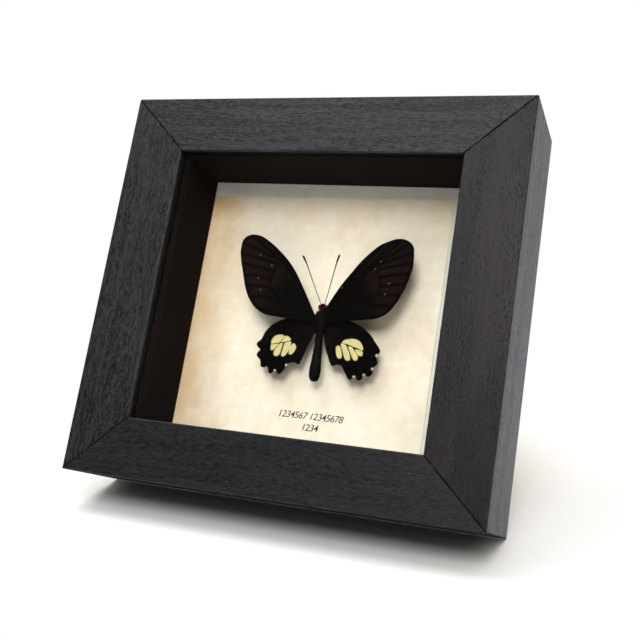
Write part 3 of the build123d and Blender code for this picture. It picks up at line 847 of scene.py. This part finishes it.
def wing(node, side, outline, veins, tilt, base, marks, material, rows=96, columns=300):
    """A veined membrane: height = out sin(tilt) + base + ridges over the veins, less hollows
    between them, + camber from root to margin + slow waves. Marks are kept for the shader."""
    plan = fan(outline, rows, columns)
    flat = plan.reshape(-1, 2)
    away = line_distance(flat, [point for line in veins for point in line[:-1]],
                         [point for line in veins for point in line[1:]])
    margin = smooth_line(outline, 240)
    edge_away = line_distance(flat, margin[:-1], margin[1:])
    reach = np.linalg.norm(flat, axis=1)
    lift = base + 0.10 * np.exp(-((away / 0.22) ** 2))
    lift -= 0.16 * np.clip(away / 1.4, 0, 1) * soft_step(4.0, 16.0, reach)
    lift += 0.44 * np.sin(np.clip(reach / reach.max(), 0, 1) * math.pi)
    lift += 0.10 * np.sin(flat[:, 0] * 0.55 + flat[:, 1] * 0.31) * soft_step(10, 26, reach)
    upper = packed(side * flat[:, 0] * math.cos(tilt), flat[:, 1], flat[:, 0] * math.sin(tilt) + lift)
    patches = np.zeros(len(flat))
    for cell in marks.get("patches", ()):
        patches = np.maximum(
            patches, soft_step(-0.17, 0.03, inside_depth(flat, smooth_line(cell, 48, closed=True)))
        )
    spots, size, strength = marks["spots"]
    gap = np.linalg.norm(flat[:, None] - np.asarray(spots)[None], axis=-1).min(axis=1)
    fringe = strength * soft_step(size, size * 0.4, gap)
    vein = np.exp(-((away / 0.20) ** 2))
    start, end = marks["thin"]
    thin = soft_step(start, end, reach) * soft_step(0.25, 0.9, away) * soft_step(0.5, 1.8, edge_away)
    thin = np.maximum(thin, marks["inner"] * soft_step(9.5, 4.0, flat[:, 0]) * (flat[:, 1] < -2))
    layer = packed(patches, vein, thin, fringe)
    under = upper - [0, 0, MEMBRANE]
    faces = grid_faces(rows, columns)
    if side < 0:
        faces = faces[:, ::-1]
    count = len(flat)
    rim = np.concatenate([
        np.arange(columns), np.arange(1, rows) * columns + columns - 1,
        (rows - 1) * columns + np.arange(columns - 2, -1, -1), np.arange(rows - 2, 0, -1) * columns,
    ])
    after = np.roll(rim, -1)
    wall = packed(rim, rim + count, after + count, after)
    points = np.concatenate([upper, under])
    piece = mesh_object(
        node + "_scaled", on_case(points + SPECIMEN),
        np.concatenate([faces, faces[:, ::-1] + count, wall]),
        material, masks={"wing_marks": np.concatenate([layer, layer])},
    )
    facing_out(piece)
    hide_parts(node)
    return piece


# Half profiles of the body: radius, then the place along it towards the head.
THORAX_SIDE = ((0.0, 4.5), (1.2, 4.4), (2.0, 3.7), (2.6, 2.2), (2.85, 0.3), (2.75, -1.6), (2.3, -3.2),
               (1.5, -4.3), (0.0, -4.45))
HEAD_SIDE = ((0.0, 7.05), (0.6, 6.95), (1.2, 6.5), (1.65, 5.75), (1.7, 5.2), (1.3, 4.6), (0.0, 4.4))
COLLAR_SIDE = ((1.65, 5.9), (1.6, 5.3), (1.35, 4.7), (1.4, 4.3), (1.9, 3.8))
ABDOMEN_SIDE = ((0.0, -4.2), (1.2, -4.3), (1.45, -6.5), (1.55, -10.0), (1.85, -14.5), (2.2, -18.8),
                (2.1, -21.2), (1.5, -22.8), (0.7, -23.4), (0.0, -23.5))


def body_part(name, side, rings, material, node, segments=0, depth=0.0):
    """A profile turned about Y; shallow grooves, r (1 - depth |cos|), mark its segments."""
    profile = smooth_line(side, rings)
    if segments:
        share = (profile[:, 1] - profile[0, 1]) / (profile[-1, 1] - profile[0, 1])
        profile[:, 0] *= 1 - depth * np.abs(np.cos(share * math.pi * segments)) ** 6
    profile[:, 0] = np.maximum(profile[:, 0], 0.0)
    points, faces = lathe(profile, 40)
    points[:, 2] *= 0.92
    piece = facing_out(mesh_object(name, on_specimen(points), faces, material))
    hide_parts(node)
    return piece


def hair_tufts(name, side, count, length, lay, material, seed, spread=(0.0, 2 * math.pi)):
    """Tapered hairs: root + length (normal (1 - lay) + rearward lay + jitter), four faces each."""
    rng = np.random.default_rng(seed)
    profile = smooth_line(side, 200)
    share = rng.uniform(0.05, 0.95, count)
    index = share * (len(profile) - 1)
    radius = np.interp(index, np.arange(len(profile)), profile[:, 0])
    along = np.interp(index, np.arange(len(profile)), profile[:, 1])
    angle = rng.uniform(*spread, count)
    normal = packed(np.sin(angle), 0.0, np.cos(angle) * 0.92)
    root = normal * (radius[:, None] * 0.97)
    root[:, 1] = along
    lean = np.clip(lay + rng.normal(0, 0.12, count), 0.05, 0.95)[:, None]
    way = normal * (1 - lean) + np.array([0.0, -1.0, 0.0]) * lean + rng.normal(0, 0.16, (count, 3))
    way /= np.linalg.norm(way, axis=1, keepdims=True)
    reach = (length * rng.uniform(0.45, 1.0, count))[:, None]
    across = np.cross(way, rng.normal(size=(count, 3)))
    across /= np.linalg.norm(across, axis=1, keepdims=True)
    other = np.cross(way, across)
    corners = [
        root + HAIR_RADIUS * (math.cos(turn) * across + math.sin(turn) * other)
        for turn in (0.0, 2 * math.pi / 3, 4 * math.pi / 3)
    ]
    points = np.stack([*corners, root + way * reach], axis=1).reshape(-1, 3)
    base = (np.arange(count) * 4)[:, None]
    faces = np.concatenate([base + row for row in ([0, 1, 3], [1, 2, 3], [2, 0, 3], [0, 2, 1])])
    piece = mesh_object(name, on_specimen(points), faces, material, smooth=False)
    return piece


# ------------------------------------------------------------------ operators
class DISPLAYCASE_OT_wood(Operator):
    """Stain the four sides of the case and the strips that line it"""

    bl_idname = "display_case.wood"
    bl_label = "Wooden Case"

    def execute(self, context):
        wood = context.scene.display_case.wood
        for node, *character in SIDES:
            label = "Stained " + node.replace("_", " ").title()
            assign(stained_wood(label, wood, *character), node)
        assign(lining_wood("Lining Across", wood, 0.0, (50.0, 3.0, 8.0)), "top_spacer", "bottom_spacer")
        assign(lining_wood("Lining Upright", wood, QUARTER, (5.0, 30.0, 2.0), 0.8),
               "left_spacer", "right_spacer")
        return {"FINISHED"}


class DISPLAYCASE_OT_glass(Operator):
    """Glaze the case with clear picture glass"""

    bl_idname = "display_case.glass"
    bl_label = "Glass"

    def execute(self, context):
        assign(picture_glass(), "glass_pane")
        return {"FINISHED"}


class DISPLAYCASE_OT_mount(Operator):
    """Lay the mount board and the mottled paper, and number the label line"""

    bl_idname = "display_case.mount"
    bl_label = "Board and Paper"

    def execute(self, context):
        paper = context.scene.display_case.paper
        assign(felted("Parchment Paper", paper.parchment, paper.mottle, 0.46, 0.00003,
                      toned=paper.toned), "paper_sheet")
        assign(felted("Grey Mount Board", paper.board, paper.board * 0.82, 0.5, 0.00005,
                      (30.0, 5.0, 0.0)), "mount_board")
        cork = context.scene.display_case.back.cork
        assign(pressed("Cork Block", cork, cork * 0.4, 1.4, reach=0.0002), "specimen_block")
        ink = felted("Printed Ink", paper.ink, paper.ink * 1.8, 0.6, 0.00001)
        for index, row in enumerate(LABEL_ROWS):
            self.number_line(f"label_numbers_{index + 1}", *row, ink)
        return {"FINISHED"}

    def number_line(self, name, digits, left, up, ink):
        """Sloping digits a hair's breadth above the paper, made a mesh before they are placed."""
        curve = bpy.data.curves.new(name, "FONT")
        curve.body = digits
        curve.size = DIGIT_SIZE
        curve.shear = 0.22
        curve.space_character = 0.92
        curve.offset = 0.015
        curve.extrude = 0.01
        draft = placed(name + "_draft", curve)
        bpy.context.view_layer.update()
        mesh = bpy.data.meshes.new_from_object(
            draft.evaluated_get(bpy.context.evaluated_depsgraph_get())
        )
        bpy.data.objects.remove(draft)
        bpy.data.curves.remove(curve)
        points = np.empty(len(mesh.vertices) * 3, np.float32)
        mesh.vertices.foreach_get("co", points)
        place = points.reshape(-1, 3) + [left, HALF_HEIGHT + up, PAPER_FRONT + 0.012]
        mesh.vertices.foreach_set("co", on_case(place).astype(np.float32).ravel())
        mesh.materials.clear()
        mesh.materials.append(ink)
        mesh.name = name
        piece = placed(name, mesh)
        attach(piece, "case")
        facing_out(piece)


class DISPLAYCASE_OT_wings(Operator):
    """Build the four veined wings with their patches, specks and fringe"""

    bl_idname = "display_case.wings"
    bl_label = "Wings"

    def execute(self, context):
        scales = scaled_wing(context.scene.display_case.specimen)
        for side, name, outline, specks, strength in (
            (-1, "left", LEFT_FOREWING, FOREWING_SPECKS, 0.16),
            (1, "right", RIGHT_FOREWING, RIGHT_FOREWING_SPECKS, 0.18),
        ):
            marks = {"thin": (19.0, 29.0), "inner": 0.0, "spots": (specks, 0.42, strength)}
            wing(f"{name}_forewing", side, outline, FOREWING_VEINS, FOREWING_TILT, 0.30, marks, scales)
        for side, name, outline, patches, fringe in (
            (-1, "left", LEFT_HINDWING, LEFT_PATCHES, LEFT_FRINGE),
            (1, "right", RIGHT_HINDWING, RIGHT_PATCHES, RIGHT_FRINGE),
        ):
            marks = {"thin": (60.0, 70.0), "inner": 0.45, "spots": (fringe, 0.75, 0.95),
                     "patches": patches}
            wing(f"{name}_hindwing", side, outline, HINDWING_VEINS, HINDWING_TILT, -0.35, marks,
                 scales, columns=420)
        return {"FINISHED"}


class DISPLAYCASE_OT_body(Operator):
    """Build the segmented body, its eyes, hair and red collar"""

    bl_idname = "display_case.body"
    bl_label = "Body"

    def execute(self, context):
        specimen = context.scene.display_case.specimen
        hair = specimen.hair
        skin = body_hair("Body Skin", hair, hair * 2.0)
        fur = body_hair("Body Hair", hair, hair * 3.2)
        red = body_hair("Collar Hair", specimen.collar, specimen.collar * 2.2)
        body_part("thorax_segments", THORAX_SIDE, 60, skin, "thorax", 3, 0.03)
        body_part("head_capsule", HEAD_SIDE, 40, skin, "head")
        body_part("abdomen_segments", ABDOMEN_SIDE, 140, skin, "abdomen", 9, 0.06)
        longest = specimen.hair_length / MM
        count = specimen.hair_count
        hair_tufts("thorax_hair", THORAX_SIDE, int(count * 0.46), longest, 0.55, fur, 11)
        hair_tufts("abdomen_hair", ABDOMEN_SIDE, int(count * 0.36), longest * 0.42, 0.78, fur, 12)
        hair_tufts("head_hair", HEAD_SIDE, int(count * 0.10), longest * 0.5, 0.35, fur, 13)
        hair_tufts("collar_hair", COLLAR_SIDE, int(count * 0.10), longest * 0.75, 0.25, red, 14,
                   spread=(-0.62, 0.62))
        self.eyes(faceted_eye(specimen))
        return {"FINISHED"}

    def eyes(self, glossy):
        """Two domes r (cos b, sin b sin a, sin b cos a) set into the sides of the head."""
        polar = np.linspace(0, math.pi, 22)
        dome, faces = lathe(packed(np.sin(polar), np.cos(polar)), 32)
        pair = [dome[:, [1, 0, 2]] * EYE_SIZE + [side * EYE_PLACE[0], *EYE_PLACE[1:]]
                for side in (-1, 1)]
        piece = mesh_object("eyes", on_specimen(np.concatenate(pair)),
                            np.concatenate([faces, faces + len(dome)]), glossy)
        facing_out(piece)


class DISPLAYCASE_OT_antennae(Operator):
    """Build the two ringed feelers with their clubs"""

    bl_idname = "display_case.antennae"
    bl_label = "Antennae"

    def execute(self, context):
        hair = context.scene.display_case.specimen.hair
        horn = body_hair("Feeler", hair * 1.6, hair * 5.0)
        points, faces, total = [], [], 0
        for side in (-1, 1):
            path = smooth_line(self.route(side), 260)
            share = np.linspace(0, 1, len(path))
            radii = 0.13 + 0.06 * soft_step(0.0, 0.8, share) + 0.17 * soft_step(0.80, 0.92, share)
            radii *= 1 + 0.08 * np.sin(share * 2 * math.pi * 46)
            radii *= np.sqrt(np.clip((1 - share) / 0.02, 0.0, 1.0))
            radii *= np.sqrt(np.clip(share / 0.004, 0.0, 1.0))
            rings, quads = tube(path, radii, 12)
            points.append(rings)
            faces.append(quads + total)
            total += len(rings)
        piece = mesh_object("feelers", on_specimen(np.concatenate(points)), np.concatenate(faces), horn)
        facing_out(piece)
        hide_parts("antennae")
        return {"FINISHED"}

    def route(self, side):
        """A straight run at the feeler's spread and rise that turns outwards at its club."""
        share = np.linspace(0, 1, 9)[:, None]
        out, forth = side * math.sin(FEELER_SPREAD), math.cos(FEELER_SPREAD)
        ahead = np.array([out, forth * math.cos(FEELER_RISE), forth * math.sin(FEELER_RISE)])
        aside = np.array([side * forth, -side * out, 0.0])
        bow = np.sin(share * math.pi) * 0.25 + 0.7 * share**6
        root = [side * FEELER_ROOT[0], *FEELER_ROOT[1:]]
        return root + FEELER_LENGTHS[side] * share * ahead + bow * aside


class DISPLAYCASE_OT_back(Operator):
    """Finish the back panel and the strut in brown hardboard"""

    bl_idname = "display_case.back"
    bl_label = "Back and Strut"

    def execute(self, context):
        board = context.scene.display_case.back.hardboard
        assign(pressed("Hardboard Panel", board, board * 0.58, 1.9), "back_panel")
        assign(pressed("Hardboard Strut", board, board * 0.58, 2.1, turn=0.4), "strut")
        return {"FINISHED"}


class DISPLAYCASE_OT_metal(Operator):
    """Plate the hinge, turn buttons, hanger and every fastener"""

    bl_idname = "display_case.metal"
    bl_label = "Metalwork"

    def execute(self, context):
        zinc = context.scene.display_case.back.zinc
        assign(zinc_plate("Zinc Hinge", zinc), "panel_leaf", "strut_leaf", "hinge_pin")
        assign(zinc_plate("Zinc Buttons", zinc, turn=0.2, dark=0.8), "turn_button_left_lower",
               "turn_button_left_upper", "turn_button_right_lower", "turn_button_right_upper")
        assign(zinc_plate("Zinc Fasteners", zinc, turn=0.9, dark=0.7), "button_screws",
               "panel_rivets", "strut_rivets", "hanger_nails", "corner_nails")
        assign(zinc_plate("Zinc Hanger", zinc, dark=0.78), "sawtooth_hanger")
        return {"FINISHED"}


class DISPLAYCASE_OT_stage(Operator):
    """Lay the pale floor and backdrop, and set the lamps, the sky and the camera"""

    bl_idname = "display_case.stage"
    bl_label = "Stage"

    def execute(self, context):
        stage = context.scene.display_case.stage
        self.floor(stage)
        self.sky(context.scene, stage)
        self.lamp("key_lamp", KEY_PLACE, stage.key_power, stage.lamp_tint)
        self.lamp("fill_lamp", FILL_PLACE, stage.fill_power, stage.lamp_tint)
        self.camera(context.scene, stage)
        context.scene.view_settings.view_transform = "Standard"
        return {"FINISHED"}

    def floor(self, stage):
        """A floor that sweeps up a quarter circle into a backdrop, as one profile along X."""

        def build(tree):
            tooth = noise(add(tree, "ShaderNodeTexCoord").outputs["Object"], 60.0, 3.0, 0.6)
            shade = mix_colour(remap(tooth, 0.3, 0.7), stage.floor, stage.floor * 0.99)
            return shade, remap(tooth, 0.3, 0.7, 0.62, 0.72), tooth

        material = surface("Stage White", (0.05, 0.0002), build, Specular_IOR_Level=0.2)
        tree = material.node_tree
        path = add(tree, "ShaderNodeLightPath").outputs
        seen = larger(path["Is Camera Ray"], larger(path["Is Glossy Ray"], path["Is Transmission Ray"]))
        x, y, z = axes(add(tree, "ShaderNodeTexCoord").outputs["Object"])
        beside = larger(minus(absolute(x), FOOTPRINT_HALF[0]), 0.0)
        before = larger(minus(absolute(y), FOOTPRINT_HALF[1]), 0.0)
        away = joined("ShaderNodeCombineXYZ", {0: beside, 1: before, 2: z})[0]
        reach = joined("ShaderNodeVectorMath", {0: away}, operation="LENGTH")["Value"]
        white = times(seen, remap(reach, 0.0, SHADOW_REACH))
        glow = add(tree, "ShaderNodeEmission", {"Color": (1, 1, 1, 1), "Strength": 1.0})
        plain = tree.nodes["Principled BSDF"].outputs[0]
        both = joined("ShaderNodeMixShader", {0: white, 1: plain, 2: glow.outputs[0]})[0]
        tree.links.new(both, tree.nodes["Material Output"].inputs["Surface"])
        bend = np.linspace(0, math.pi / 2, 24)
        rise = [(1.3 + 0.7 * math.sin(turn), 0.7 - 0.7 * math.cos(turn)) for turn in bend]
        line = np.array([(-3.0, 0.0), (-1.0, 0.0), (0.4, 0.0), *rise, (2.0, 3.2)])
        across = np.linspace(-3.2, 3.2, 9)
        points = packed(across, line[:, :1], line[:, 1:]).reshape(-1, 3)
        faces = grid_faces(len(line), 9)
        mesh_object("stage_floor", points, faces, material, body=None)

    def sky(self, scene, stage):
        """White above, behind and beside; darker low in front, where the glass mirrors the room."""
        world = bpy.data.worlds.new("Studio Sky")
        world.use_nodes = True
        scene.world = world
        tree = world.node_tree
        tree.nodes.clear()
        way = add(tree, "ShaderNodeTexCoord").outputs["Generated"]
        toward = joined("ShaderNodeVectorMath", {0: way, 1: Vector(MIRRORED_WAY).normalized()},
                        operation="DOT_PRODUCT")["Value"]
        share = remap(toward, 0.885, 0.955)
        _, behind, upward = axes(way)
        above = remap(upward, 0.77, 0.95, stage.sky, stage.overhead)
        low = times(remap(upward, 0.62, 0.30), remap(behind, 0.0, -0.35))
        above = times(above, minus(1.0, times(low, 0.8)))
        strength = plus(times(above, minus(1.0, share)), times(share, stage.room))
        seen = add(tree, "ShaderNodeLightPath").outputs["Is Camera Ray"]
        strength = joined("ShaderNodeMix", {0: seen, 2: strength, 3: 1.0})[0]
        tint = mix_colour(seen, stage.sky_tint, WHITE)
        light = joined("ShaderNodeBackground", {"Color": tint, "Strength": strength})[0]
        tree.links.new(light, add(tree, "ShaderNodeOutputWorld").inputs["Surface"])

    def lamp(self, name, place, power, tint):
        """A square soft lamp that faces the middle of the case."""
        light = bpy.data.lights.new(name, "AREA")
        light.shape = "SQUARE"
        light.size = LAMP_SIZE
        light.energy = power
        light.color = tint
        piece = placed(name, light)
        piece.location = place
        aim = Vector(LAMP_TARGET) - Vector(place)
        piece.rotation_euler = aim.to_track_quat("-Z", "Y").to_euler()

    def camera(self, scene, stage):
        """The photograph's viewpoint, about 11 degrees above the case and 22 to its right."""
        lens = bpy.data.cameras.new("view")
        lens.lens = stage.lens
        lens.sensor_width = 36.0
        lens.sensor_fit = "HORIZONTAL"
        lens.clip_start = 0.02
        piece = placed("view", lens)
        piece.location = CAMERA_PLACE
        piece.rotation_euler = Euler([math.radians(angle) for angle in CAMERA_TURN])
        scene.camera = piece


class DISPLAYCASE_PT_panel(Panel):
    """Lists the steps that finish the case"""

    bl_idname = "DISPLAYCASE_PT_panel"
    bl_label = "Display Case"
    bl_space_type = "VIEW_3D"
    bl_region_type = "UI"
    bl_category = "Display Case"

    def draw(self, context):
        settings = context.scene.display_case
        for step in STEPS:
            self.layout.operator(step.bl_idname)
        for group in (settings.wood, settings.paper, settings.specimen, settings.back,
                      settings.stage):
            box = self.layout.box()
            for key in group.bl_rna.properties.keys():
                if key not in {"rna_type", "name"}:
                    box.prop(group, key)


STEPS = (
    DISPLAYCASE_OT_wood, DISPLAYCASE_OT_glass, DISPLAYCASE_OT_mount, DISPLAYCASE_OT_wings,
    DISPLAYCASE_OT_body, DISPLAYCASE_OT_antennae, DISPLAYCASE_OT_back, DISPLAYCASE_OT_metal,
    DISPLAYCASE_OT_stage,
)
CLASSES = (
    WoodSettings, PaperSettings, SpecimenSettings, BackSettings, StageSettings,
    DisplayCaseSettings, *STEPS, DISPLAYCASE_PT_panel,
)


def register():
    """Adds the classes and the settings on the scene."""
    for cls in CLASSES:
        bpy.utils.register_class(cls)
    bpy.types.Scene.display_case = PointerProperty(type=DisplayCaseSettings)


def unregister():
    """Takes the settings and the classes away again."""
    del bpy.types.Scene.display_case
    for cls in reversed(CLASSES):
        bpy.utils.unregister_class(cls)


def main():
    """Finishes the case step by step."""
    register()
    for step in STEPS:
        group, name = step.bl_idname.split(".")
        getattr(getattr(bpy.ops, group), name)()


if __name__ == "__main__":
    main()
